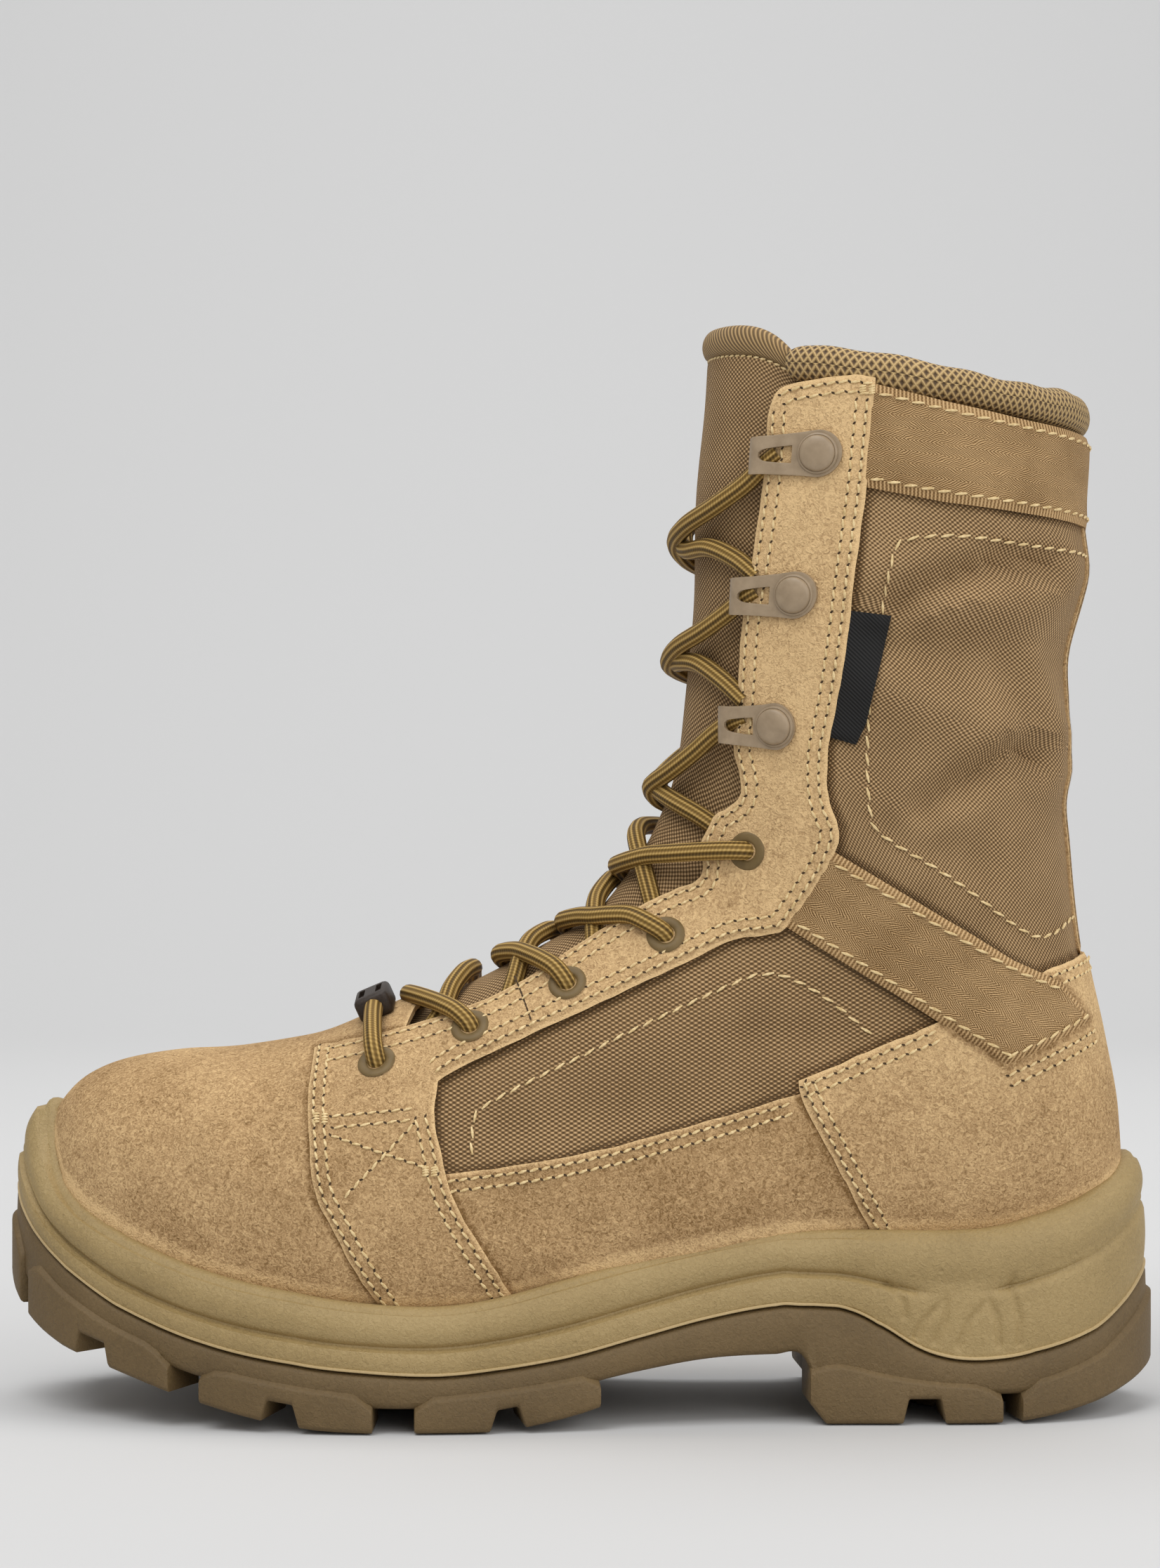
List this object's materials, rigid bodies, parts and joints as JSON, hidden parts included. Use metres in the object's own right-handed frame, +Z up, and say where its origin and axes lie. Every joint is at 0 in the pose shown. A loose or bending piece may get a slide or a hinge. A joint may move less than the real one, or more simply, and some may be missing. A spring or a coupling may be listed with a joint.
{
  "type": "tactical boot",
  "caption": "Left lace-up tactical boot with a hollow nylon and suede upper, padded collar and tongue, moulded midsole cup and lugged rubber outsole.",
  "frame": {"origin": "on the floor plane under the middle of the boot's bounding box", "axes": "+X from the toe to the heel, +Y towards the inner side of the foot, +Z up"},
  "size_m": [0.3044, 0.1151, 0.2849],
  "materials": {
    "rubber_brown": "matte moulded rubber",
    "foam_olive": "fine stippled moulded foam",
    "felt_dark": "felt",
    "nylon_brown": "basket-woven nylon",
    "tongue_nylon": "woven nylon over padding",
    "collar_mesh": "diamond mesh over padding",
    "webbing_brown": "herringbone webbing",
    "suede_tan": "napped suede",
    "metal_taupe": "matte coated metal",
    "lace_brown": "round braid",
    "label_black": "ribbed plain label",
    "plastic_dark": "matte moulded plastic"
  },
  "bodies": {
    "root": {"outsole": "rubber_brown", "midsole": "foam_olive", "insole": "felt_dark", "upper": "nylon_brown", "tongue": "tongue_nylon", "collar_roll": "collar_mesh", "collar_band": "webbing_brown", "ankle_strap_outer": "webbing_brown", "ankle_strap_inner": "webbing_brown", "label": "label_black", "lace_keeper": "plastic_dark", "eyestay": "suede_tan", "vamp": "suede_tan", "foxing_outer": "suede_tan", "foxing_inner": "suede_tan", "counter": "suede_tan", "back_stay": "suede_tan", "eyelet_outer_1": "metal_taupe", "eyelet_outer_2": "metal_taupe", "eyelet_outer_3": "metal_taupe", "eyelet_outer_4": "metal_taupe", "eyelet_outer_5": "metal_taupe", "eyelet_inner_1": "metal_taupe", "eyelet_inner_2": "metal_taupe", "eyelet_inner_3": "metal_taupe", "eyelet_inner_4": "metal_taupe", "eyelet_inner_5": "metal_taupe", "hook_outer_1": "metal_taupe", "hook_outer_2": "metal_taupe", "hook_outer_3": "metal_taupe", "hook_inner_1": "metal_taupe", "hook_inner_2": "metal_taupe", "hook_inner_3": "metal_taupe", "lace_bar": "lace_brown", "lace_cross_1": "lace_brown", "lace_cross_2": "lace_brown", "lace_cross_3": "lace_brown", "lace_cross_4": "lace_brown", "lace_cross_5": "lace_brown", "lace_cross_6": "lace_brown", "lace_cross_7": "lace_brown"}
  },
  "joints": []
}
